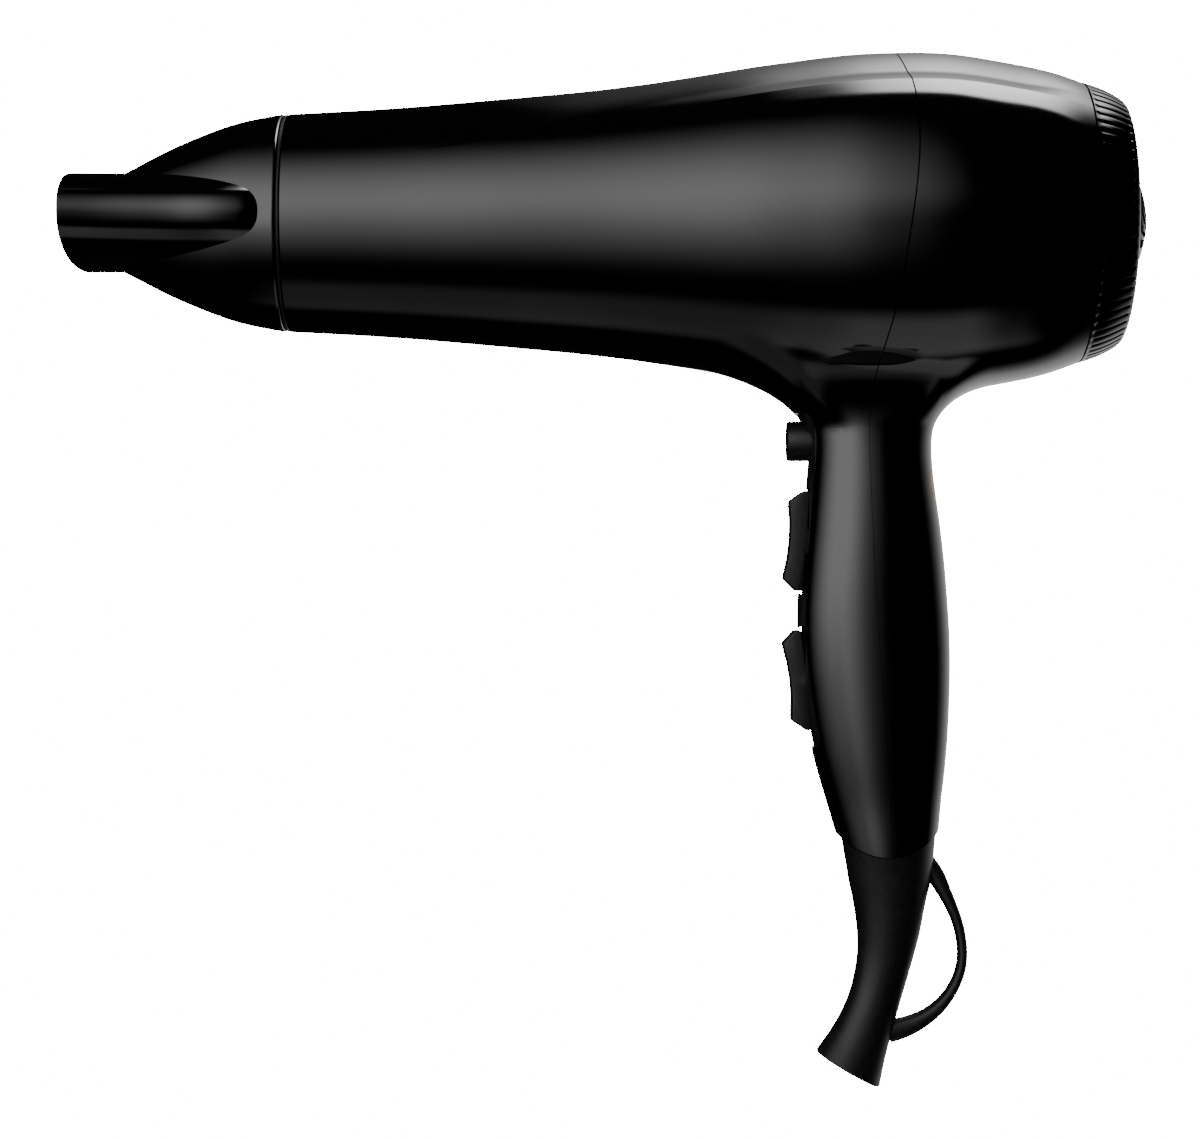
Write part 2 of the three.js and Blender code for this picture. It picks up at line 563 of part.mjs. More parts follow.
// ---- boot with its hanging loop ----
function bootSection([x, z, lean, half, halfWidth]) {
  const tilt = THREE.MathUtils.degToRad(lean);
  return (angle, reach) => {
    const [u, v] = rounded(angle, reach, half, halfWidth, BOOT_ROUNDNESS);
    return [x + u * Math.cos(tilt), v, z - u * Math.sin(tilt)];
  };
}

function boot() {
  const top = HANDLE.filter(([z]) => z <= -50 && z >= -62).map(([z, front, back, halfWidth]) =>
    (angle, reach) => {
      const [u, v] = rounded(angle, reach, (back - front) / 2, halfWidth, HANDLE_ROUNDNESS);
      return [(front + back) / 2 + u, v, z];
    });
  const skin = loft([...top, ...BOOT.slice(1).map((station) => bootSection(station))], 18);
  const outer = cut(skin, aboveSeam(-GAP));
  const spigot = handleSolid(SHELL_WALL + GAP).intersect(block(-20, 30, -20, 20, -66, -51.5));
  const line = LOOP.centre.map(([x, z]) => [x, 0, z]);
  const loop = cut(tube(line, 22, LOOP.halfWidth, LOOP.halfThickness, 6), aboveSeam(-GAP));
  const centre = [[4.2, 0, -40], ...BOOT.map(([x, z]) => [x, 0, z])];
  const [endX, endZ, lean] = BOOT[BOOT.length - 1];
  const tilt = THREE.MathUtils.degToRad(lean);
  const out = [-Math.sin(tilt), -Math.cos(tilt)];
  const along = (distance) => [endX + out[0] * distance, 0, endZ + out[1] * distance];
  const bore = tube([...centre, along(4)], 16, CORD_BORE, CORD_BORE, 10);
  const mouth = rod(along(-8), along(0.5), CORD_BORE - 0.2, 14, CORD_MOUTH);
  piece("cord_boot", cut(joined(outer, spigot, loop), bore, mouth), rubber);
}

casings();
handleScrews();
nozzle();
heater();
motor();
fan();
intake();
switches();
electrics();
boot();

export default dryer;
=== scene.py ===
import math

import bmesh
import bpy
import numpy as np
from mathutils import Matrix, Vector


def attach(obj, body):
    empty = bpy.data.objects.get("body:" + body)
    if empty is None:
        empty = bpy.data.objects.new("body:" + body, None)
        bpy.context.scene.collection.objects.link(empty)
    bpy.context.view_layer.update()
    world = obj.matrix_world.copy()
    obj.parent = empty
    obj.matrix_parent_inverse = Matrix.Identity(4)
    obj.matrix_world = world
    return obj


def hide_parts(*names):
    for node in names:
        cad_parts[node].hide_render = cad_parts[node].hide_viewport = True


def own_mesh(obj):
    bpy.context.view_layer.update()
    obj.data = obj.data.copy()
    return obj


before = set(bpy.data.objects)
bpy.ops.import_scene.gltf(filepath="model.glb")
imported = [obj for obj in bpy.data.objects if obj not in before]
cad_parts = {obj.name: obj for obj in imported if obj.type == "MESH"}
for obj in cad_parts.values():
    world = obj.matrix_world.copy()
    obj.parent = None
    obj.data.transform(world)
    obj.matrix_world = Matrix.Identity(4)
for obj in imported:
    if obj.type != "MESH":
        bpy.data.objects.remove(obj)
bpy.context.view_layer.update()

# A hair dryer: two gloss shells split front and rear, a turning concentrator nozzle, a ribbed rear
# cover, a switch strip and a rubber boot. Shapes are written in millimetres in the CAD frame: +X is
# the rear, +Z is up, and the nozzle blows towards -X.
MM = 0.001
BARREL_AXIS = 105.2
BARREL_FRONT = -154.3
BARREL_REAR = 54.3
SHELL_WALL = 2.0
SLOT_HALF = 12.3
SLOT_POWER = 2.3
NOZZLE_WALL = 1.8


# ---- curves and small functions ----
def spline(points):
    """A smooth curve through the points, carried on straight beyond both ends."""
    x, y = np.array(sorted(points), float).T
    h = np.diff(x)
    n = len(x)
    rows = np.zeros((n, n))
    right = np.zeros(n)
    rows[0, 0] = rows[-1, -1] = 1
    for i in range(1, n - 1):
        rows[i, i - 1 : i + 2] = h[i - 1], 2 * (h[i - 1] + h[i]), h[i]
        right[i] = 6 * ((y[i + 1] - y[i]) / h[i] - (y[i] - y[i - 1]) / h[i - 1])
    m = np.linalg.solve(rows, right)
    first = (y[1] - y[0]) / h[0] - h[0] * m[1] / 6
    last = (y[-1] - y[-2]) / h[-1] + h[-1] * m[-2] / 6

    def value(t):
        t = np.asarray(t, float)
        s = np.clip(t, x[0], x[-1])
        i = np.clip(np.searchsorted(x, s) - 1, 0, n - 2)
        a, b = (x[i + 1] - s) / h[i], (s - x[i]) / h[i]
        bend = ((a**3 - a) * m[i] + (b**3 - b) * m[i + 1]) * h[i] ** 2 / 6
        beyond = np.minimum(t - x[0], 0) * first + np.maximum(t - x[-1], 0) * last
        return a * y[i] + b * y[i + 1] + bend + beyond

    return value


def ease(t):
    t = np.clip(t, 0, 1)
    return t * t * (3 - 2 * t)


def smooth_min(a, b, k):
    h = np.maximum(k - np.abs(a - b), 0) / k
    return np.minimum(a, b) - h * h * k / 4


def gradient(field, p, step=0.01):
    g = np.empty_like(p)
    for i in range(3):
        d = np.zeros(3)
        d[i] = step
        g[:, i] = (field(*(p + d).T) - field(*(p - d).T)) / (2 * step)
    return g


def unit(v):
    return v / np.maximum(np.linalg.norm(v, axis=1, keepdims=True), 1e-12)


def settle(field, p, times=3):
    """Moves the points onto the field's zero surface."""
    for _ in range(times):
        g = gradient(field, p)
        p = p - (field(*p.T) / np.maximum((g * g).sum(1), 1e-9))[:, None] * g
    return p


# ---- the body's surface ----
barrel_radius = spline([
    (-154.3, 28.75), (-125, 30.4), (-99, 32.6), (-72, 35.2), (-46, 38.9), (-32, 41.2), (-19, 43),
    (-6, 44.5), (4.5, 45), (20, 44.7), (34, 42.6), (47, 39.7), (54.3, 37.1),
])
swoosh_edge = spline([(-154, 61), (-117, 59), (-72, 49), (-30, 43.2), (7, 42), (58, 44)])
handle_front = spline([
    (-72, -5.6), (-62, -8.2), (-50, -11.7), (-38, -15.2), (-22, -18.4), (-5, -20.2), (8, -20.1),
    (24, -18.9), (37, -17.8), (45, -17.3), (52, -18), (56, -19.7), (60, -22.6), (64, -26.4), (68, -29.5),
    (76, -32),
])
handle_back = spline([
    (-72, 14.6), (-62, 16.7), (-50, 18), (-38, 19.3), (-22, 20.3), (-5, 20.4), (8, 19.6), (24, 18),
    (37, 16.2), (45, 15.6), (52, 16.4), (56, 18), (60, 20.2), (64, 23), (68, 25.4), (76, 27.5),
])
handle_half = spline([
    (-72, 11), (-62, 12.4), (-50, 13.2), (-38, 14.4), (-22, 15.6), (-5, 16.3), (8, 16.6), (24, 16.6),
    (37, 16.2), (48, 15.9), (54, 16.3), (57.2, 17.2), (60.3, 18.8), (64, 21.3), (68, 24.2), (72, 26),
    (78, 27),
])
parting_x = spline([
    (152, 4.8), (137, 7.6), (115, 7.6), (95, 5), (77.7, 2.2), (60.7, -1.5), (40, -2), (0, 0),
    (-58, 4), (-75, 4.4),
])
SWOOSH_START = -121
EDGE_RADIUS = 0.05


def boot_seam(x):
    return -62 + 0.033 * np.clip(x - 3.2, -20, 20) ** 2


def recess(x, theta):
    """How far the swoosh sinks the barrel's side, at an angle in degrees from the barrel's top."""
    edge = swoosh_edge(x)
    width = 0.4 + 8.6 * ease((x - SWOOSH_START) / 71)
    depth = 2.0 * ease((x - SWOOSH_START) / 125) * (1 - 0.85 * ease((x - 36) / 17))
    rise = (edge - theta) / width
    back = ease(theta / (edge - width))
    return depth * np.clip(smooth_min(rise, back, 0.22), 0, None)


def seam_half(z):
    """Half the gap between the two shells, which is wider on the barrel than on the handle."""
    return 0.06 + 0.12 * ease((z - 56) / 14)


def rounded_radius(x):
    """The barrel's radius, with its front edge rounded."""
    lip = np.clip((BARREL_FRONT - x) / EDGE_RADIUS + 1, 0, 0.98)
    return barrel_radius(x) - EDGE_RADIUS * (1 - np.sqrt(1 - lip**2))


def body(x, y, z):
    up = z - BARREL_AXIS
    rho = np.hypot(y, up)
    theta = np.degrees(np.arctan2(np.abs(y), up))
    barrel = rho - rounded_radius(x) + recess(x, theta)
    front, back = handle_front(z), handle_back(z)
    middle, reach = (front + back) / 2, (back - front) / 2
    u, w = np.abs((x - middle) / reach), np.abs(y / handle_half(z))
    power = 2.3 + 3.2 * ease((z - 50) / 12)
    q = (u**power + w**power) ** (1 / power) + 1e-6
    r = np.hypot(x - middle, y) + 1e-6
    handle = np.maximum(r - r / q, z - 74)
    along = ease((np.abs(x - middle) / r - 0.6) / 0.4)
    k = 1.2 + np.where(x < middle, 15, 9) * along
    return smooth_min(barrel, handle, k)


def surface_net(field, low, high, step):
    """The field's zero surface as quads, one vertex in each grid cell that it crosses."""
    axes = [np.arange(a, b + step, step) for a, b in zip(low, high)]
    values = field(*np.meshgrid(*axes, indexing="ij"))
    values[values == 0] = 1e-9
    n = values.shape
    cells = tuple(m - 1 for m in n)
    hits = np.zeros(cells)
    total = np.zeros(cells + (3,))
    quads = []
    for axis in range(3):
        others = [i for i in range(3) if i != axis]
        for a in (0, 1):
            for b in (0, 1):
                low_cut, high_cut = [None] * 3, [None] * 3
                low_cut[axis], high_cut[axis] = slice(0, n[axis] - 1), slice(1, n[axis])
                for o, d in zip(others, (a, b)):
                    low_cut[o] = high_cut[o] = slice(d, n[o] - 1 + d)
                f0, f1 = values[tuple(low_cut)], values[tuple(high_cut)]
                crossing = (f0 < 0) != (f1 < 0)
                place = np.zeros(cells + (3,))
                place[..., axis] = np.where(crossing, f0 / np.where(crossing, f0 - f1, 1), 0)
                place[..., others[0]] = a
                place[..., others[1]] = b
                hits += crossing
                total += place * crossing[..., None]
    filled = hits > 0
    index = -np.ones(cells, int)
    index[filled] = np.arange(filled.sum())
    where = np.argwhere(filled)
    points = where + total[filled] / hits[filled][:, None]
    points = np.array(low, float) + points * step
    for axis in range(3):
        o1, o2 = (axis + 1) % 3, (axis + 2) % 3
        lo_s, hi_s = [slice(None)] * 3, [slice(None)] * 3
        lo_s[axis], hi_s[axis] = slice(0, n[axis] - 1), slice(1, n[axis])
        f0, f1 = values[tuple(lo_s)], values[tuple(hi_s)]
        edges = np.argwhere((f0 < 0) != (f1 < 0))
        edges = edges[(edges[:, o1] > 0) & (edges[:, o1] < n[o1] - 1)]
        edges = edges[(edges[:, o2] > 0) & (edges[:, o2] < n[o2] - 1)]
        d1, d2 = np.zeros(3, int), np.zeros(3, int)
        d1[o1], d2[o2] = 1, 1
        ring = [index[tuple((edges - s).T)] for s in (d1 + d2, d2, 0 * d1, d1)]
        quad = np.stack(ring, 1)
        outward = f0[tuple(edges.T)] < 0
        quad[~outward] = quad[~outward][:, ::-1]
        quads.append(quad)
    return points, np.concatenate(quads)


def relax(field, points, quads, times):
    """Evens the grid out along the surface."""
    pairs = np.concatenate([quads[:, [i, (i + 1) % 4]] for i in range(4)])
    for _ in range(times):
        total = np.zeros_like(points)
        count = np.zeros(len(points))
        for a, b in ((0, 1), (1, 0)):
            np.add.at(total, pairs[:, a], points[pairs[:, b]])
            np.add.at(count, pairs[:, a], 1)
        points = settle(field, (points + total / count[:, None]) / 2, 1)
    return settle(field, points, 2)


def bisect(bm, forward, backward, near=None, clear=False):
    """Puts edges where forward(points)[:, 0] is 0, and removes what lies above 0 if clear is set."""

    def move(change):
        for v, c in zip(bm.verts, change(np.array([v.co for v in bm.verts]))):
            v.co = c

    move(forward)
    faces = [f for f in bm.faces if near is None or near(f.calc_center_median())]
    geom = faces + list({e for f in faces for e in f.edges}) + list({v for f in faces for v in f.verts})
    bmesh.ops.bisect_plane(
        bm, geom=geom, dist=1e-4, plane_co=(0, 0, 0), plane_no=(1, 0, 0), clear_outer=clear
    )
    move(backward)


def shear(offset, axis, by, sign=1):
    """The pair of moves for a cut along the curve axis = offset(by)."""
    rest = [i for i in range(3) if i != axis]

    def forward(p):
        return np.column_stack([sign * (p[:, axis] - offset(p[:, by])), p[:, rest[0]], p[:, rest[1]]])

    def backward(p):
        out = np.empty_like(p)
        out[:, rest[0]], out[:, rest[1]] = p[:, 1], p[:, 2]
        out[:, axis] = sign * p[:, 0] + offset(out[:, by])
        return out

    return forward, backward


def swoosh_moves(side):
    def forward(p):
        up = p[:, 2] - BARREL_AXIS
        theta = np.degrees(np.arctan2(side * p[:, 1], up))
        return np.column_stack([theta - swoosh_edge(p[:, 0]), p[:, 0], np.hypot(p[:, 1], up)])

    def backward(p):
        theta = np.radians(p[:, 0] + swoosh_edge(p[:, 1]))
        return np.column_stack([
            p[:, 1], side * p[:, 2] * np.sin(theta), BARREL_AXIS + p[:, 2] * np.cos(theta)
        ])

    return forward, backward


# ---- meshes ----
def mesh_object(name, points, faces):
    mesh = bpy.data.meshes.new(name)
    mesh.from_pydata((np.asarray(points, float) * MM).tolist(), [], [list(map(int, f)) for f in faces])
    mesh.validate()
    obj = bpy.data.objects.new(name, mesh)
    bpy.context.scene.collection.objects.link(obj)
    return obj


def thicken(points, faces, inward):
    """Closes an open skin into a wall, with a second skin at points + inward and a rim between them."""
    n = len(points)
    edges = {}
    for f in faces:
        for a, b in zip(f, f[1:] + f[:1]):
            edges[(a, b)] = edges.get((a, b), 0) + 1
    rim = [(b, a, a + n, b + n) for a, b in edges if (b, a) not in edges]
    back = [[i + n for i in reversed(f)] for f in faces]
    return np.concatenate([points, points + inward]), faces + back + [list(r) for r in rim]


def boolean(obj, other, operation):
    """Joins or cuts with Blender's manifold solver, and removes the second object."""
    mod = obj.modifiers.new("join", "BOOLEAN")
    mod.object = other
    mod.operation = operation
    mod.solver = "MANIFOLD"
    bpy.context.view_layer.update()
    mesh = bpy.data.meshes.new_from_object(obj.evaluated_get(bpy.context.evaluated_depsgraph_get()))
    obj.modifiers.clear()
    obj.data = mesh
    bpy.data.objects.remove(other)
    return obj


def shade(obj, fields, tolerance=0.03, angle=35):
    """Smooth normals: taken from the field that a face lies on, or from its neighbours elsewhere."""
    mesh = obj.data
    mesh.polygons.foreach_set("use_smooth", np.ones(len(mesh.polygons), bool))
    mesh.set_sharp_from_angle(angle=math.radians(angle))
    if not fields:
        return obj
    count = len(mesh.loops)
    verts = np.empty(len(mesh.vertices) * 3)
    mesh.vertices.foreach_get("co", verts)
    verts = verts.reshape(-1, 3) / MM
    loop_vert = np.empty(count, int)
    mesh.loops.foreach_get("vertex_index", loop_vert)
    starts, totals = np.empty(len(mesh.polygons), int), np.empty(len(mesh.polygons), int)
    mesh.polygons.foreach_get("loop_start", starts)
    mesh.polygons.foreach_get("loop_total", totals)
    face_normal = np.empty(len(mesh.polygons) * 3)
    mesh.polygons.foreach_get("normal", face_normal)
    face_normal = face_normal.reshape(-1, 3)
    loop_face = np.repeat(np.arange(len(starts)), totals)
    at = verts[loop_vert]
    centre = np.zeros((len(starts), 3))
    np.add.at(centre, loop_face, at)
    centre /= totals[:, None]
    probe = 0.9 * at + 0.1 * centre[loop_face]
    corner = np.array([c.vector for c in mesh.corner_normals])
    done = np.zeros(len(starts), bool)
    for field, sign in fields:
        far = np.zeros(len(starts))
        np.maximum.at(far, loop_face, np.abs(field(*at.T)))
        middle = sign * unit(gradient(field, centre))
        on = (far < tolerance) & ((middle * face_normal).sum(1) > 0.6) & ~done
        done |= on
        pick = on[loop_face]
        corner[pick] = sign * unit(gradient(field, probe[pick]))
    mesh.normals_split_custom_set(corner.tolist())
    return obj


def lathe(profile, segments, around=BARREL_AXIS, wobble=None):
    """Turns [x, r] points about the barrel's axis. A profile that starts and ends on the axis is solid."""
    solid = profile[0][1] == 0
    rows = profile[1:-1] if solid else profile
    angles = 2 * np.pi * np.arange(segments) / segments
    points, faces = [], []
    for i, (x, r) in enumerate(rows):
        rr = np.full(segments, float(r)) if wobble is None else wobble(i, x, r, angles)
        ring = [np.full(segments, x), rr * np.sin(angles), around + rr * np.cos(angles)]
        points.append(np.column_stack(ring))
    count = len(rows)
    last = count - 1 if solid else count
    for i in range(last):
        j = (i + 1) % count
        for s in range(segments):
            t = (s + 1) % segments
            faces.append([i * segments + s, i * segments + t, j * segments + t, j * segments + s])
    points = np.concatenate(points)
    if solid:
        a, b = len(points), len(points) + 1
        points = np.concatenate([points, [[profile[0][0], 0, around], [profile[-1][0], 0, around]]])
        for s in range(segments):
            t = (s + 1) % segments
            faces.append([a, t, s])
            faces.append([b, last * segments + s, last * segments + t])
    return outward(points, faces)


def outward(points, faces):
    """Turns all faces round if the solid is inside out."""
    volume = 0
    for f in faces:
        a = points[f[0]]
        for b, c in zip(f[1:-1], f[2:]):
            volume += np.dot(a, np.cross(points[b], points[c]))
    return points, ([list(reversed(f)) for f in faces] if volume < 0 else faces)


def loft(rings, closed_ends=True):
    """A solid through rings of equal point counts."""
    n = len(rings[0])
    points = np.concatenate(rings)
    faces = []
    for i in range(len(rings) - 1):
        for s in range(n):
            t = (s + 1) % n
            faces.append([i * n + s, i * n + t, (i + 1) * n + t, (i + 1) * n + s])
    if closed_ends:
        faces.append(list(reversed(range(n))))
        faces.append([(len(rings) - 1) * n + s for s in range(n)])
    return outward(points, faces)


def joined_parts(parts):
    """Several (points, faces) as one."""
    points, faces, start = [], [], 0
    for p, f in parts:
        points.append(p)
        faces += [[i + start for i in face] for face in f]
        start += len(p)
    return np.concatenate(points), faces


def prism(outline, y0, y1):
    """An XZ outline, carried along Y."""
    return loft([[(x, y, z) for x, z in outline] for y in (y0, y1)])


def bevel(obj, width, segments=2, angle=30):
    mod = obj.modifiers.new("edges", "BEVEL")
    mod.width = width * MM
    mod.segments = segments
    mod.limit_method = "ANGLE"
    mod.angle_limit = math.radians(angle)
    mod.harden_normals = False
    bpy.context.view_layer.update()
    mesh = bpy.data.meshes.new_from_object(obj.evaluated_get(bpy.context.evaluated_depsgraph_get()))
    obj.modifiers.clear()
    obj.data = mesh
    return obj


# ---- materials ----
def tone(colour, k):
    return tuple(min(1, c * k) for c in colour) + (1,)


def material(name, colour, rough, spread=0.25, grain=400, metallic=0.0, bump=0.0, bump_scale=1500,
             rough_spread=0.15, **sockets):
    """A shader whose colour and roughness vary with fine noise, with an optional fine bump."""
    mat = bpy.data.materials.new(name)
    mat.use_nodes = True
    tree = mat.node_tree
    shader = tree.nodes["Principled BSDF"]
    shader.inputs["Metallic"].default_value = metallic
    for key, value in sockets.items():
        shader.inputs[key.replace("_", " ")].default_value = value
    place = tree.nodes.new("ShaderNodeTexCoord")
    noise = tree.nodes.new("ShaderNodeTexNoise")
    noise.inputs["Scale"].default_value = grain
    noise.inputs["Detail"].default_value = 4
    tree.links.new(place.outputs["Object"], noise.inputs["Vector"])
    ramp = tree.nodes.new("ShaderNodeValToRGB")
    ramp.color_ramp.elements[0].position = 0.3
    ramp.color_ramp.elements[1].position = 0.7
    ramp.color_ramp.elements[0].color = tone(colour, 1 - spread)
    ramp.color_ramp.elements[1].color = tone(colour, 1 + spread)
    tree.links.new(noise.outputs["Fac"], ramp.inputs["Fac"])
    tree.links.new(ramp.outputs["Color"], shader.inputs["Base Color"])
    worn = tree.nodes.new("ShaderNodeTexNoise")
    worn.inputs["Scale"].default_value = grain / 8
    worn.inputs["Detail"].default_value = 3
    tree.links.new(place.outputs["Object"], worn.inputs["Vector"])
    span = tree.nodes.new("ShaderNodeMapRange")
    span.inputs["From Min"].default_value = 0.3
    span.inputs["From Max"].default_value = 0.7
    span.inputs["To Min"].default_value = rough * (1 - rough_spread)
    span.inputs["To Max"].default_value = min(1, rough * (1 + rough_spread))
    tree.links.new(worn.outputs["Fac"], span.inputs["Value"])
    tree.links.new(span.outputs["Result"], shader.inputs["Roughness"])
    if bump:
        fine = tree.nodes.new("ShaderNodeTexNoise")
        fine.inputs["Scale"].default_value = bump_scale
        fine.inputs["Detail"].default_value = 2
        tree.links.new(place.outputs["Object"], fine.inputs["Vector"])
        raised = tree.nodes.new("ShaderNodeBump")
        raised.inputs["Strength"].default_value = bump
        raised.inputs["Distance"].default_value = 0.0001
        tree.links.new(fine.outputs["Fac"], raised.inputs["Height"])
        tree.links.new(raised.outputs["Normal"], shader.inputs["Normal"])
    return mat


LOOKS = {
    "gloss_black": material("gloss_black", (0.0006, 0.0006, 0.0007), 0.07, grain=120, IOR=1.5),
    "satin_black": material(
        "satin_black", (0.004, 0.004, 0.0045), 0.36, grain=700, bump=0.25, Specular_IOR_Level=0.2
    ),
    "soft_rubber": material(
        "soft_rubber", (0.004, 0.004, 0.0045), 0.4, grain=500, bump=0.3, Specular_IOR_Level=0.22
    ),
    "bright_metal": material("bright_metal", (0.72, 0.72, 0.74), 0.16, 0.06, metallic=1.0),
    "steel": material("steel", (0.5, 0.5, 0.52), 0.3, 0.12, metallic=1.0, bump=0.15),
    "brass": material("brass", (0.72, 0.5, 0.2), 0.28, 0.12, metallic=1.0, bump=0.1),
    "copper": material("copper", (0.75, 0.33, 0.16), 0.25, 0.15, metallic=1.0, bump=0.1),
    "magnet": material("magnet", (0.05, 0.05, 0.055), 0.6, 0.3, bump=0.4),
    "mica": material("mica", (0.62, 0.55, 0.42), 0.45, 0.2, grain=260, bump=0.3, bump_scale=500),
    "red_lens": material("red_lens", (0.8, 0.06, 0.06), 0.2, 0.12),
    "pale_plastic": material("pale_plastic", (0.68, 0.66, 0.6), 0.4, 0.08, bump=0.2),
    "circuit_board": material("circuit_board", (0.03, 0.16, 0.07), 0.4, 0.3, bump=0.2),
    "red_lead": material("red_lead", (0.42, 0.02, 0.02), 0.35, 0.15, bump=0.1),
    "blue_lead": material("blue_lead", (0.03, 0.08, 0.36), 0.35, 0.15, bump=0.1),
}


def finish_piece(obj, body_name, slot, *replaced):
    obj.data.materials.clear()
    obj.data.materials.append(LOOKS[slot])
    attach(obj, body_name)
    if replaced:
        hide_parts(*replaced)
    return obj


# ---- camera ----
camera_data = bpy.data.cameras.new("camera")
camera_data.lens = 87
camera_data.sensor_width = 36
camera = bpy.data.objects.new("camera", camera_data)
camera.location = (-0.0723, -0.770, 0.0134)
camera.rotation_euler = (math.pi / 2, 0, 0)
bpy.context.scene.collection.objects.link(camera)
bpy.context.scene.camera = camera


# ---- the two shells ----
TONGUE = 0.9


def body_shells():
    """The front and rear shells, and the tongue that closes the line between them from inside."""
    step = 1.6
    points, quads = surface_net(body, (-158.4, -48, -72), (58, 48, 152.8), step)
    points = relax(body, points, quads, 3)
    mesh = bpy.data.meshes.new("body")
    mesh.from_pydata(points.tolist(), [], quads.tolist())
    bm = bmesh.new()
    bm.from_mesh(mesh)
    bpy.data.meshes.remove(mesh)
    bisect(bm, *shear(lambda y: BARREL_FRONT + 0 * y, 0, 1, -1), clear=True)
    bisect(bm, *shear(lambda y: BARREL_REAR + 0 * y, 0, 1), clear=True)
    bisect(bm, *shear(boot_seam, 2, 0, -1), clear=True)
    for depth in (0.05, 0.4):
        bisect(bm, *shear(lambda y, x=BARREL_FRONT + depth: x + 0 * y, 0, 1), near=lambda c: c.x < -150)
    for z in np.linspace(66.4, 69.4, 6):
        bisect(bm, *shear(lambda x, z=z: z + 0 * x, 2, 0), near=lambda c: 60 < c.x < 76 and abs(c.y) < 28)
    for side in (1, -1):
        bisect(bm, *swoosh_moves(side), near=lambda c: abs(c[0]) < 16 and SWOOSH_START < c[1] and c[2] > 20)
    for k in (1, 0, -1):
        bisect(bm, *shear(lambda z, k=k: parting_x(z) + k * seam_half(z), 0, 2))
    for gap in (TONGUE, -TONGUE):
        bisect(bm, *shear(lambda z, gap=gap: parting_x(z) + gap, 0, 2))
    bm.verts.ensure_lookup_table()
    co = np.array([v.co for v in bm.verts])
    for v, c in zip(bm.verts, settle(body, co, 2)):
        v.co = c
    points = np.array([v.co for v in bm.verts])
    mouth = np.abs(co[:, 0] - BARREL_FRONT) < 1
    points[mouth] = co[mouth]
    middle = np.array([0, 0, BARREL_AXIS])
    ring = unit((points[mouth] - middle) * (0, 1, 1)) * rounded_radius(co[mouth, 0])[:, None]
    points[mouth] = middle + ring + co[mouth] * (1, 0, 0)
    faces = [[v.index for v in f.verts] for f in bm.faces]
    bm.free()
    centres = np.array([points[f].mean(0) for f in faces])
    side = centres[:, 0] - parting_x(centres[:, 2])
    edge = 0.9 * seam_half(centres[:, 2])
    ridge = np.abs(points[:, 0] - parting_x(points[:, 2])) < 0.02
    parts = []
    for name, chosen, depth, inner in (
        ("front_shell_skin", side < -edge, 0 * ridge, SHELL_WALL),
        ("rear_shell_skin", side > edge, 0 * ridge, SHELL_WALL),
        ("tongue", np.abs(side) < TONGUE, np.where(ridge, 0.8, 1.2), 1.9),
    ):
        keep = [faces[i] for i in np.flatnonzero(chosen)]
        used = sorted({i for f in keep for i in f})
        renumber = {i: k for k, i in enumerate(used)}
        normals = unit(gradient(body, points[used], 0.3))
        skin = [[renumber[i] for i in f] for f in keep]
        outer = depth[used][:, None]
        solid = thicken(points[used] - outer * normals, skin, (outer - inner) * normals)
        parts.append(mesh_object(name, *solid))
    return parts


def rounded_rectangle(half_y, z0, z1, radius, steps=8):
    """Corner points in (y, z), going round once."""
    out = []
    corners = [(half_y, z1, 0), (-half_y, z1, 90), (-half_y, z0, 180), (half_y, z0, 270)]
    for y, z, start in corners:
        cy, cz = y - math.copysign(radius, y), z + (radius if z == z0 else -radius)
        for i in range(steps + 1):
            a = math.radians(start + 90 * i / steps)
            out.append((cy + radius * math.cos(a), cz + radius * math.sin(a)))
    return out


def handle_x(y, z, side, inset=0.0):
    """Where the handle's skin is at (y, z), in front (side -1) or behind (side 1), moved in by inset."""
    x = (handle_front(z) if side < 0 else handle_back(z)).astype(float)
    for _ in range(12):
        f = body(x, y, z) + inset
        slope = (body(x + 0.01, y, z) - body(x - 0.01, y, z)) / 0.02
        x = x - f / np.where(np.abs(slope) < 0.2, 0.2 * side, slope)
    return x


def skin_plug(name, outline, side, inset, wall, rings=7):
    """A plate that follows the handle's skin inside a closed (y, z) outline."""
    outline = np.array(outline)
    centre = outline.mean(0)
    n = len(outline)
    layers = []
    for k in range(rings):
        s = 1 - k / rings
        yz = centre + (outline - centre) * s
        layers.append(np.column_stack([handle_x(yz[:, 0], yz[:, 1], side, inset), yz]))
    c = np.array([[float(handle_x(centre[:1], centre[1:], side, inset)[0]), *centre]])
    front = np.concatenate(layers + [c])
    faces = []
    for k in range(rings - 1):
        for s in range(n):
            t = (s + 1) % n
            faces.append([k * n + s, k * n + t, (k + 1) * n + t, (k + 1) * n + s])
    faces += [[(rings - 1) * n + s, (rings - 1) * n + (s + 1) % n, rings * n] for s in range(n)]
    pts, faces = thicken(front, faces, np.tile([-side * wall, 0, 0], (len(front), 1)))
    return mesh_object(name, *outward(pts, faces))


def column(name, outline, x0, x1):
    """A (y, z) outline carried along X, for cutting an opening."""
    return mesh_object(name, *loft([[(x, y, z) for y, z in outline] for x in (x0, x1)]))


PANEL_OUTLINE = rounded_rectangle(8.2, -33.5, 54.5, 3.2)
LENS_OUTLINE = rounded_rectangle(8.3, 26.5, 43.7, 8.29)


def grown(outline, by):
    """The outline, a little larger all round."""
    o = np.array(outline)
    t = np.roll(o, -1, 0) - np.roll(o, 1, 0)
    n = unit(np.column_stack([t[:, 1], -t[:, 0]]))
    if ((o - o.mean(0)) * n).sum() < 0:
        n = -n
    return (o + by * n).tolist()


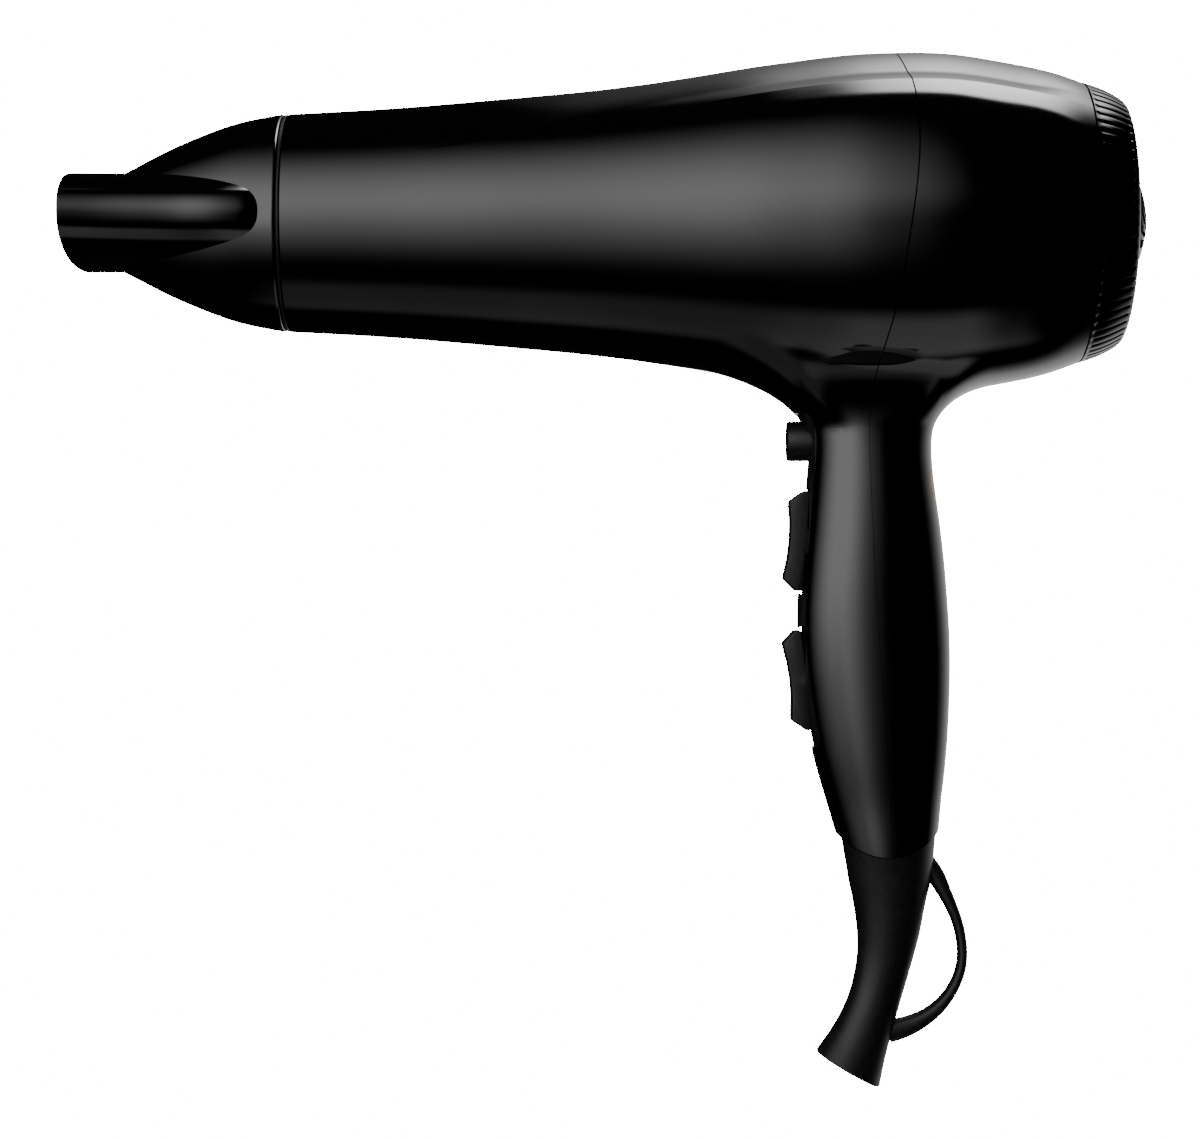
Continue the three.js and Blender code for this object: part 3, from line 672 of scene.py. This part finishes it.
def neck_recess(side):
    """Cuts an almond-shaped recess with a flat, steep floor into the crease under the barrel."""
    top = spline([
        (-15.7, 67.3), (-10.6, 68.6), (-6.7, 69.5), (-2.9, 69.7), (0, 69.5), (5, 68.8), (9.2, 67.3),
    ])
    low = spline([
        (-15.7, 67.25), (-14.2, 66.5), (-10, 66.2), (-5, 66), (0, 66), (5, 66.3), (9.2, 67.25),
    ])
    rings = []
    for x in np.linspace(-15.6, 9.1, 40):
        z = np.linspace(float(low(x)), float(top(x)), 9)
        skin = np.full(9, -24.0)
        for _ in range(10):
            f = body(np.full(9, x), skin, z)
            slope = (body(np.full(9, x), skin + 0.01, z) - f) / 0.01
            skin = skin - f / np.minimum(slope, -0.3)
        height = (z[-1] - z[0]) / 3.6
        floor = np.maximum(skin[0] + 0.6 * height - 0.7 * (z - z[0]), skin + 0.05)
        inner = [(x, -side * y, h) for y, h in zip(floor, z)]
        outer = [(x, -side * -34.0, h) for h in z[::-1]]
        rings.append(inner + outer)
    return mesh_object("cutter", *loft(rings))


front, rear, tongue = body_shells()
boolean(rear, tongue, "UNION")
for shell in (front, rear):
    for side in (1, -1):
        boolean(shell, neck_recess(side), "DIFFERENCE")
boolean(front, column("cutter", grown(PANEL_OUTLINE, 0.2), -40, 0), "DIFFERENCE")
boolean(rear, column("cutter", grown(LENS_OUTLINE, 0.15), 5, 40), "DIFFERENCE")
screw_recess = lathe([(9, 0), (9, 3.4), (30, 3.4), (30, 0)], 32, around=-46)
boolean(rear, mesh_object("cutter", *screw_recess), "DIFFERENCE")
for shell in (front, rear):
    shade(shell, [(body, 1)], tolerance=0.08)
finish_piece(front, "housing", "gloss_black", "front_shell")
finish_piece(rear, "housing", "gloss_black", "rear_shell")

lens = skin_plug("ion_lens_piece", LENS_OUTLINE, 1, 0.0, 1.8)
shade(lens, [(body, 1)])
finish_piece(lens, "housing", "red_lens", "ion_lens")


# ---- the switch strip ----
# Where each rocker sits: x, z and its tilt in degrees.
ROCKERS = {
    "speed": (-19.1, 20.95, 4.4),
    "heat": (-18.9, -15.9, -6.6),
}
BUTTON_Z = 47.4
ROCKER_PIVOT = 6.2
ROCKER_HALF_WIDTH = 5
ROCKER_PIN = 1.2
# Half of a rocker's side view as local (x, z), and half of the hole it tilts in.
ROCKER_SIDE = [
    (8, 1.8), (1.4, 3.4), (1.4, 12.6), (1.0, 13.25), (-0.5, 13.25), (-3.9, 10.35), (-3.15, 5), (-2.9, 0),
]
ROCKER_HOLE = [(-12, 13), (-1.2, 13), (-0.5, 13.38), (0.3, 13.74), (1, 14.02), (1.7, 14.3), (14, 14.4)]
ROCKER_HOLE_HALF_WIDTH = 5.2


def tilted(outline, place):
    """Local (x, z) points of a rocker, in its place."""
    x0, z0, tilt = place
    c, s = math.cos(math.radians(tilt)), math.sin(math.radians(tilt))
    return [(x0 + c * x + s * z, z0 - s * x + c * z) for x, z in outline]


panel = skin_plug("switch_panel_piece", PANEL_OUTLINE, -1, 0.35, 2.4)
for place in ROCKERS.values():
    hole = tilted([(x, -z) for x, z in ROCKER_HOLE] + ROCKER_HOLE[::-1], place)
    hole = prism(hole, -ROCKER_HOLE_HALF_WIDTH, ROCKER_HOLE_HALF_WIDTH)
    boolean(panel, mesh_object("cutter", *hole), "DIFFERENCE")
hole = lathe([(-40, 0), (-40, 5.7), (0, 5.7), (0, 0)], 48, around=BUTTON_Z)
boolean(panel, mesh_object("cutter", *hole), "DIFFERENCE")
shade(panel, [(lambda x, y, z: body(x, y, z) + 0.35, 1)])
finish_piece(panel, "housing", "satin_black", "switch_panel")

for name, place in ROCKERS.items():
    half = ROCKER_SIDE + [(x, -z) for x, z in reversed(ROCKER_SIDE[:-1])]
    solid = prism(tilted(half, place), -ROCKER_HALF_WIDTH, ROCKER_HALF_WIDTH)
    rocker = mesh_object(name + "_rocker_piece", *solid)
    bevel(rocker, 0.55, 3, 20)
    for z in (6.6, 7.8, 9.0, -6.6, -7.8, -9.0):
        x = -3.15 - 0.75 * (abs(z) - 5) / 5.35
        corners = [(x + 0.9, z - 0.3), (x - 0.22, z - 0.2), (x - 0.22, z + 0.2), (x + 0.9, z + 0.3)]
        ridge = tilted(corners, place)
        boolean(rocker, mesh_object("ridge", *prism(ridge, -3.6, 3.6)), "UNION")
    [(pin_x, pin_z)] = tilted([(ROCKER_PIVOT, 0)], place)
    turn = np.linspace(0, 2 * np.pi, 24, False)
    pin = loft([
        [(pin_x + ROCKER_PIN * math.cos(a), y, pin_z + ROCKER_PIN * math.sin(a)) for a in turn]
        for y in (-6.7, 6.7)
    ])
    boolean(rocker, mesh_object("pin", *pin), "UNION")
    shade(rocker, [], angle=40)
    finish_piece(rocker, name + "_rocker", "satin_black", name + "_rocker")

button = lathe([
    (-22.4, 0), (-22.55, 3.2), (-22.8, 4.2), (-22.8, 4.7), (-22.6, 5.1), (-22.2, 5.3), (-13.2, 5.3),
    (-13.2, 6.4), (-12.2, 6.4), (-12.2, 1.9), (-8, 1.9), (-8, 0),
], 64, around=BUTTON_Z)
button = mesh_object("cool_shot_button_piece", *button)
shade(button, [], angle=50)
finish_piece(button, "cool_shot_button", "satin_black", "cool_shot_button")


# ---- nozzle ----
dome_outer = spline([
    (-155.7, 28.75), (-162.4, 27.6), (-168.8, 26.1), (-178.3, 22.7), (-187.9, 18.5), (-197.4, 13.6),
    (-203, 9.5), (-206, 5),
])
dome_inner = spline([
    (-150, 26.95), (-155.7, 26.95), (-162.4, 25.8), (-168.8, 24.2), (-178.3, 20.8), (-187.9, 16.6),
    (-196, 12), (-201, 7.5), (-203.5, 3),
])
blade_half = spline([
    (-210.5, 34), (-200, 32.4), (-190, 31.3), (-180, 30.6), (-172, 30.4), (-166, 29.8), (-162, 28.9),
    (-159, 27.6),
])


def dome_field(radius):
    return lambda x, y, z: np.hypot(y, z - BARREL_AXIS) - radius(x)


def slot_field(inset):
    def field(x, y, z):
        up = z - BARREL_AXIS
        r = np.hypot(y, up) + 1e-6
        n = SLOT_POWER
        q = (np.abs(y / (blade_half(x) - inset)) ** n + np.abs(up / (SLOT_HALF - inset)) ** n) ** (1 / n)
        return r - r / (q + 1e-6)

    return field


def slot_section(x, inset):
    a = np.linspace(0, 2 * np.pi, 144, False)
    share = 2 / SLOT_POWER
    y = (float(blade_half(x)) - inset) * np.sign(np.cos(a)) * np.abs(np.cos(a)) ** share
    z = (SLOT_HALF - inset) * np.sign(np.sin(a)) * np.abs(np.sin(a)) ** share
    return np.column_stack([np.full(len(a), x), y, BARREL_AXIS + z])


def nozzle():
    xs = np.linspace(-156.9, -205.8, 46)
    lip = [(-155.7, 0), (-155.7, 28.2), (-155.73, 28.4), (-155.85, 28.55), (-156.1, 28.64), (-156.5, 28.65)]
    dome = lip + [(x, float(dome_outer(x))) for x in xs] + [(-205.8, 0)]
    shell = mesh_object("nozzle_piece", *lathe(dome, 160))
    edge = [slot_section(-210.5, 0.3), slot_section(-210.4, 0.12), slot_section(-210.2, 0.02)]
    body_rings = [slot_section(x, 0) for x in np.linspace(-209.9, -159, 50)]
    boolean(shell, mesh_object("blade", *loft(edge + body_rings)), "UNION")
    hollow = [(-150, 0)] + [(x, float(dome_inner(x))) for x in np.linspace(-150, -203, 50)] + [(-203, 0)]
    boolean(shell, mesh_object("hollow", *lathe(hollow, 160)), "DIFFERENCE")
    slot = [slot_section(x, NOZZLE_WALL) for x in np.linspace(-212, -162, 50)]
    boolean(shell, mesh_object("slot", *loft(slot)), "DIFFERENCE")
    outside = [(dome_field(dome_outer), 1), (slot_field(0), 1)]
    inside = [(dome_field(dome_inner), -1), (slot_field(NOZZLE_WALL), -1)]
    return shade(shell, outside + inside)


finish_piece(nozzle(), "nozzle", "gloss_black", "nozzle")

snap = [
    (-161.5, 25.1), (-155.4, 25.1), (-155.4, 28.4), (-155.2, 28.6), (-154.8, 28.6), (-154.6, 28.4),
    (-154.6, 26.2), (-147, 26.2), (-147, 24.4), (-161.5, 23.6),
]
ring = mesh_object("nozzle_ring_piece", *lathe(snap, 160))
shade(ring, [])
finish_piece(ring, "nozzle_ring", "satin_black", "nozzle_ring")


# ---- rear cover, grille and mesh ----
RIBS = 72
# How deep each rib's eight points go, as a share of the groove.
RIB_SHAPE = (0, 0, 0, 0, 0.1, 0.9, 0.9, 0.1)


def rear_cover():
    outer = spline([(54.6, 37), (58.5, 35.8), (62.6, 33.9), (64.3, 32.9)])
    bands = np.linspace(55.4, 64.0, 24)
    rim = [(50.5, 34.4), (54.6, 34.4), (54.6, 36.8), (54.8, 37.0)]
    rim += [(x, float(outer(x))) for x in bands]
    rim += [(64.6, 32.6), (65.2, 32.0), (65.5, 31.2), (65.5, 27.9), (65.3, 27.6), (63.8, 27.5), (63.6, 27.6)]
    rim += [(62.6, 30.4), (58.2, 32.2), (50.5, 32.8)]

    def wobble(i, x, r, angles):
        depth = 0.62 * ease((x - 55.3) / 0.7) * ease((64.5 - x) / 0.9) if 4 <= i < 4 + len(bands) else 0
        return r - depth * np.tile(RIB_SHAPE, RIBS)

    parts = [lathe(rim, RIBS * len(RIB_SHAPE), wobble=wobble)]
    parts.append(lathe([
        (62.8, 17), (62.8, 19.1), (63, 19.3), (65, 19.3), (65.3, 19), (65.3, 17.3), (65, 17)
    ], 96))
    for k in range(6):
        a = math.radians(60 * k)
        out = np.array([0, math.sin(a), math.cos(a)])
        across = np.array([0, math.cos(a), -math.sin(a)])
        rings = []
        for r, w in ((18.2, 1.3), (20, 0.95), (26, 0.95), (28.6, 1.5)):
            c = np.array([0, 0, BARREL_AXIS]) + r * out
            rings.append([tuple(c + (x, 0, 0) + s * w * across) for x, s in (
                (63.7, -1), (64.9, -1), (65.2, -0.7), (65.2, 0.7), (64.9, 1), (63.7, 1))])
        parts.append(loft(rings))
    return shade(mesh_object("rear_cover_piece", *joined_parts(parts)), [], angle=30)


finish_piece(rear_cover(), "rear_cover", "gloss_black", "rear_cover")


def grille_x(r):
    """The domed grille's outer face."""
    return 65.6 + 6.8 * (1 - (r / 19.3) ** 2)


def rear_grille():
    parts = [lathe([
        (65.6, 16.9), (float(grille_x(16.9)) - 0.1, 16.9), (float(grille_x(17.4)), 17.4), (66.9, 18.4),
        (66.1, 19.1), (65.6, 19.3),
    ], 120)]
    hub = [(float(grille_x(r)), r) for r in np.linspace(0, 4.6, 8)]
    parts.append(lathe(hub + [(70.4, 5), (69.4, 5), (69.4, 0)], 64))
    vanes = 20
    for k in range(vanes):
        rings = []
        for r in np.linspace(4.4, 17.3, 14):
            a = 2 * math.pi * k / vanes + 0.85 * ((r - 4.4) / 12.9) ** 0.8
            c = np.array([0, r * math.sin(a), BARREL_AXIS + r * math.cos(a)])
            across = np.array([0, math.cos(a - 0.5), -math.sin(a - 0.5)])
            top = float(grille_x(r)) - 0.12
            w = 0.42 + 0.02 * r
            edges = [(2, -0.8), (0.35, -1), (0, -0.55), (0, 0.55), (0.35, 1), (2, 0.8)]
            rings.append([tuple(c + (top - down, 0, 0) + s * w * across) for down, s in edges])
        parts.append(loft(rings))
    return shade(mesh_object("rear_grille_piece", *joined_parts(parts)), [], angle=40)


finish_piece(rear_grille(), "rear_cover", "gloss_black", "rear_grille")


def intake_mesh():
    """Woven wire, over and under, inside a rolled rim."""
    pitch, wire, reach = 1.7, 0.22, 30.6
    parts = [lathe([(57.0, 30.4), (57.0, 31.2), (57.2, 31.4), (57.6, 31.4), (57.8, 31.2), (57.8, 30.4)], 120)]
    count = int(reach / pitch)
    for turn in (0, 1):
        for i in range(-count, count + 1):
            off = i * pitch
            half = math.sqrt(max(reach**2 - off**2, 0))
            steps = max(2, int(round(2 * half / (pitch / 2))))
            rings = []
            for t in np.linspace(-half, half, steps + 1):
                lift = 0.16 * math.cos(math.pi * (t / pitch + i + turn))
                y, z = (t, off) if turn else (off, t)
                dy, dz = (0, wire) if turn else (wire, 0)
                x = 57.4 + lift
                rings.append([
                    (x - wire, y, BARREL_AXIS + z), (x, y + dy, BARREL_AXIS + z + dz),
                    (x + wire, y, BARREL_AXIS + z), (x, y - dy, BARREL_AXIS + z - dz),
                ])
            parts.append(loft(rings))
    return shade(mesh_object("intake_mesh_piece", *joined_parts(parts)), [], angle=60)


finish_piece(intake_mesh(), "rear_cover", "steel", "intake_mesh")


# ---- cord boot with its hanging loop ----
# The boot's sections from the top: x, z, lean in degrees, half depth and half width.
BOOT = [
    (4.25, -62, 0, 12.45, 12.4), (4.55, -68, 0, 11.2, 11.1), (4.5, -74, 0, 9.8, 9.9),
    (4.25, -82, 3, 8.45, 8.6), (3.4, -88.5, 9, 7.5, 7.6), (2, -95, 15, 7, 7), (0.2, -101.5, 20, 6.9, 6.9),
    (-2, -107.8, 24, 7.4, 7.4), (-4.2, -113.3, 27, 8.3, 8.3), (-6.45, -118.75, 29.7, 9.6, 9.6),
]
# The loop's centreline and its half thickness in the side view.
LOOP = [
    (13.4, -62.8, 2.2), (16.5, -67.3, 2.4), (19.3, -72.6, 1.9), (22.1, -78.9, 1.5), (23.7, -86, 1.4),
    (23.6, -91.4, 1.4), (21.6, -97.2, 1.5), (18.1, -102.1, 1.8), (12.9, -106.1, 2.3), (6.7, -108.6, 2.9),
    (4.2, -109.2, 3),
]


def along(points, count):
    """Points spread evenly along a smooth curve through the given ones."""
    p = np.array(points, float)
    s = np.concatenate([[0], np.cumsum(np.linalg.norm(np.diff(p[:, :2], axis=0), axis=1))])
    t = np.linspace(0, s[-1], count)
    return np.column_stack([spline(list(zip(s, p[:, i])))(t) for i in range(p.shape[1])])


def cord_boot():
    angles = np.linspace(0, 2 * np.pi, 72, False)

    def section(x, z, lean, half, half_width):
        c, s = math.cos(math.radians(lean)), math.sin(math.radians(lean))
        u = np.sign(np.cos(angles)) * np.abs(np.cos(angles)) ** (2 / 2.15) * half
        w = np.sign(np.sin(angles)) * np.abs(np.sin(angles)) ** (2 / 2.15) * half_width
        return np.column_stack([x + u * c, w, z - u * s])

    stations = along(BOOT, 64)
    rings = [section(*row) for row in stations]
    top = rings[0].copy()
    rings[0][:, 2] = boot_seam(top[:, 0]) - 0.3
    for k in range(1, 8):
        share = 1 - k / 8
        rings[k][:, 2] += share * (rings[0][:, 2] - (-62))
    x, z, lean, half, half_width = stations[-1]
    c, s = math.cos(math.radians(lean)), math.sin(math.radians(lean))
    lip = section(x - 0.35 * s, z - 0.35 * c, lean, half - 0.35, half_width - 0.35)
    mouth = section(x - 0.35 * s, z - 0.35 * c, lean, 6.3, 6.3)
    bore = []
    for i, row in enumerate(stations):
        radius = 4 + 2 * max(0, (i - 48) / 15)
        bore.append(section(*row[:3], radius, radius))
    bore[0][:, 2] = boot_seam(bore[0][:, 0]) - 0.3
    loop_rings = rings + [lip, mouth] + bore[::-1]
    n = len(angles)
    points = np.concatenate(loop_rings)
    faces = []
    for i in range(len(loop_rings)):
        j = (i + 1) % len(loop_rings)
        for a in range(n):
            b = (a + 1) % n
            faces.append([i * n + a, i * n + b, j * n + b, j * n + a])
    boot = mesh_object("cord_boot_piece", *outward(points, faces))
    path = along(LOOP, 90)
    tangent = unit(np.gradient(path[:, :2], axis=0))
    loop = []
    around = np.linspace(0, 2 * np.pi, 32, False)
    u = np.sign(np.cos(around)) * np.abs(np.cos(around)) ** 0.8
    w = 2.6 * np.sign(np.sin(around)) * np.abs(np.sin(around)) ** 0.8
    for (px, pz, half), (tx, tz) in zip(path, tangent):
        loop.append(np.column_stack([px - tz * half * u, w, pz + tx * half * u]))
    boolean(boot, mesh_object("loop", *loft(loop)), "UNION")
    return shade(boot, [], angle=40)


finish_piece(cord_boot(), "housing", "soft_rubber", "cord_boot")


# ---- the cool shot spring ----
def spring():
    turns, radius, wire = 5, 2.9, 0.22
    steps = turns * 24
    rings = []
    for i in range(steps + 1):
        a = 2 * math.pi * i / 24
        x = -11.35 + 4.9 * i / steps
        c = np.array([x, radius * math.cos(a), BUTTON_Z + radius * math.sin(a)])
        out = np.array([0, math.cos(a), math.sin(a)])
        rings.append([tuple(c + wire * (math.cos(b) * out + math.sin(b) * np.array([1, 0, 0])))
                      for b in np.linspace(0, 2 * math.pi, 8, False)])
    return shade(mesh_object("cool_shot_spring_piece", *loft(rings)), [], angle=60)


coil = finish_piece(spring(), "housing", "steel", "cool_shot_spring")
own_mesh(coil)


# ---- inner parts keep their CAD shape, with smooth round faces ----
replaced = {
    "front_shell", "rear_shell", "ion_lens", "switch_panel", "speed_rocker", "heat_rocker",
    "cool_shot_button", "nozzle", "nozzle_ring", "rear_cover", "rear_grille", "intake_mesh", "cord_boot",
    "cool_shot_spring",
}
for name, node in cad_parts.items():
    if name in replaced:
        continue
    slot = node.data.materials[0].name.split(".")[0]
    node.data.materials[0] = LOOKS[slot]
    if "custom_normal" in node.data.attributes:
        node.data.attributes.remove(node.data.attributes["custom_normal"])
    node.data.polygons.foreach_set("use_smooth", np.ones(len(node.data.polygons), bool))
    weld = node.modifiers.new("weld", "WELD")
    weld.merge_threshold = 1e-5
    split = node.modifiers.new("split", "EDGE_SPLIT")
    split.split_angle = math.radians(38)


# ---- floor, studio and lights ----
def emission(name, strength):
    """A plain light, or one whose strength is a mesh attribute."""
    mat = bpy.data.materials.new(name)
    mat.use_nodes = True
    tree = mat.node_tree
    tree.nodes.clear()
    out = tree.nodes.new("ShaderNodeOutputMaterial")
    glow = tree.nodes.new("ShaderNodeEmission")
    tree.links.new(glow.outputs["Emission"], out.inputs["Surface"])
    if isinstance(strength, str):
        level = tree.nodes.new("ShaderNodeAttribute")
        level.attribute_name = strength
        tree.links.new(level.outputs["Fac"], glow.inputs["Strength"])
    else:
        glow.inputs["Strength"].default_value = strength
    return mat


def studio(azimuth, elevation):
    """The softboxes' strength in a direction, in degrees: azimuth 0 is the camera's side, 90 is +X."""
    a, e = np.radians(azimuth), np.radians(elevation)
    x, near, up = np.sin(a) * np.cos(e), np.cos(a) * np.cos(e), np.sin(e)
    over = np.degrees(np.arctan2(up, near))
    side = np.degrees(np.arcsin(np.clip(x, -1, 1)))
    edge = 18 + 9 * ease((elevation + 8) / 26)
    key = 3.9 * ease((azimuth + 105) / 60) * ease((edge - azimuth) / 50) ** 1.4
    key = key * ease((76 - elevation) / 60) * ease((elevation + 56) / 60) ** 1.7
    key = key * (1 - 0.4 * ease((-5 - azimuth) / 35) * ease((1 - elevation) / 18))
    below = np.where(over > 150, over - 360, over)
    low = 0.75 * ease((-62 - below) / 16) * ease((below + 112) / 12)
    low = low * (0.35 * ease((side + 26) / 10) + 0.65 * ease((side + 12) / 12)) * ease((28 - side) / 10)
    tail = 0.03 * ease((178 - over) / 30)
    top = 17 * ease((over - 88) / 5) * (tail + 0.97 * np.exp(-((np.maximum(over - 100, 0) / 24) ** 2)))
    top = top * ease((side + 6) / 17) * ease((38 - side) / 20)
    rear = 1.0 * ease((azimuth - 86) / 42) * ease((elevation + 50) / 20) * ease((22 - elevation) / 20)
    return key + low + top + rear


CENTRE = Vector((-0.05, 0, 0.07))
RADIUS = 3.0
STEP = 2


def light_dome():
    """A sphere of light round the dryer, bright where the softboxes are."""
    azimuth, elevation = np.meshgrid(np.arange(-180, 180 + STEP, STEP), np.arange(-90, 90 + STEP, STEP))
    azimuth, elevation = azimuth.ravel().astype(float), elevation.ravel().astype(float)
    level = studio(azimuth, elevation)
    a, e = np.radians(azimuth), np.radians(elevation)
    way = np.column_stack([np.sin(a) * np.cos(e), -np.cos(a) * np.cos(e), np.sin(e)])
    row = 360 // STEP + 1
    faces = []
    for i in range(180 // STEP):
        for j in range(row - 1):
            quad = (i * row + j, i * row + j + 1, (i + 1) * row + j + 1, (i + 1) * row + j)
            if max(level[k] for k in quad) > 0.002:
                faces.append(quad)
    mesh = bpy.data.meshes.new("light_dome")
    mesh.from_pydata((way * RADIUS + np.array(CENTRE)).tolist(), [], faces)
    mesh.attributes.new("level", "FLOAT", "POINT").data.foreach_set("value", level)
    dome = bpy.data.objects.new("light_dome", mesh)
    dome.data.materials.append(emission("light_dome", "level"))
    dome.visible_camera = False
    dome.visible_shadow = False
    bpy.context.scene.collection.objects.link(dome)


light_dome()

floor_mesh = bpy.data.meshes.new("floor")
floor_mesh.from_pydata([(-6, -6, 0), (6, -6, 0), (6, 6, 0), (-6, 6, 0)], [], [(0, 1, 2, 3)])
floor = bpy.data.objects.new("floor", floor_mesh)
floor.location = (0, 0, -0.3)
floor.data.materials.append(emission("floor", 30))
floor.visible_glossy = False
floor.visible_diffuse = False
floor.visible_transmission = False
floor.visible_shadow = False
bpy.context.scene.collection.objects.link(floor)

world = bpy.data.worlds.new("world")
bpy.context.scene.world = world
world.use_nodes = True
tree = world.node_tree
background = tree.nodes["Background"]
path = tree.nodes.new("ShaderNodeLightPath")
level = tree.nodes.new("ShaderNodeMapRange")
level.inputs["To Min"].default_value = 0.004
level.inputs["To Max"].default_value = 30
tree.links.new(path.outputs["Is Camera Ray"], level.inputs["Value"])
tree.links.new(level.outputs["Result"], background.inputs["Strength"])
background.inputs["Color"].default_value = (1, 1, 1, 1)
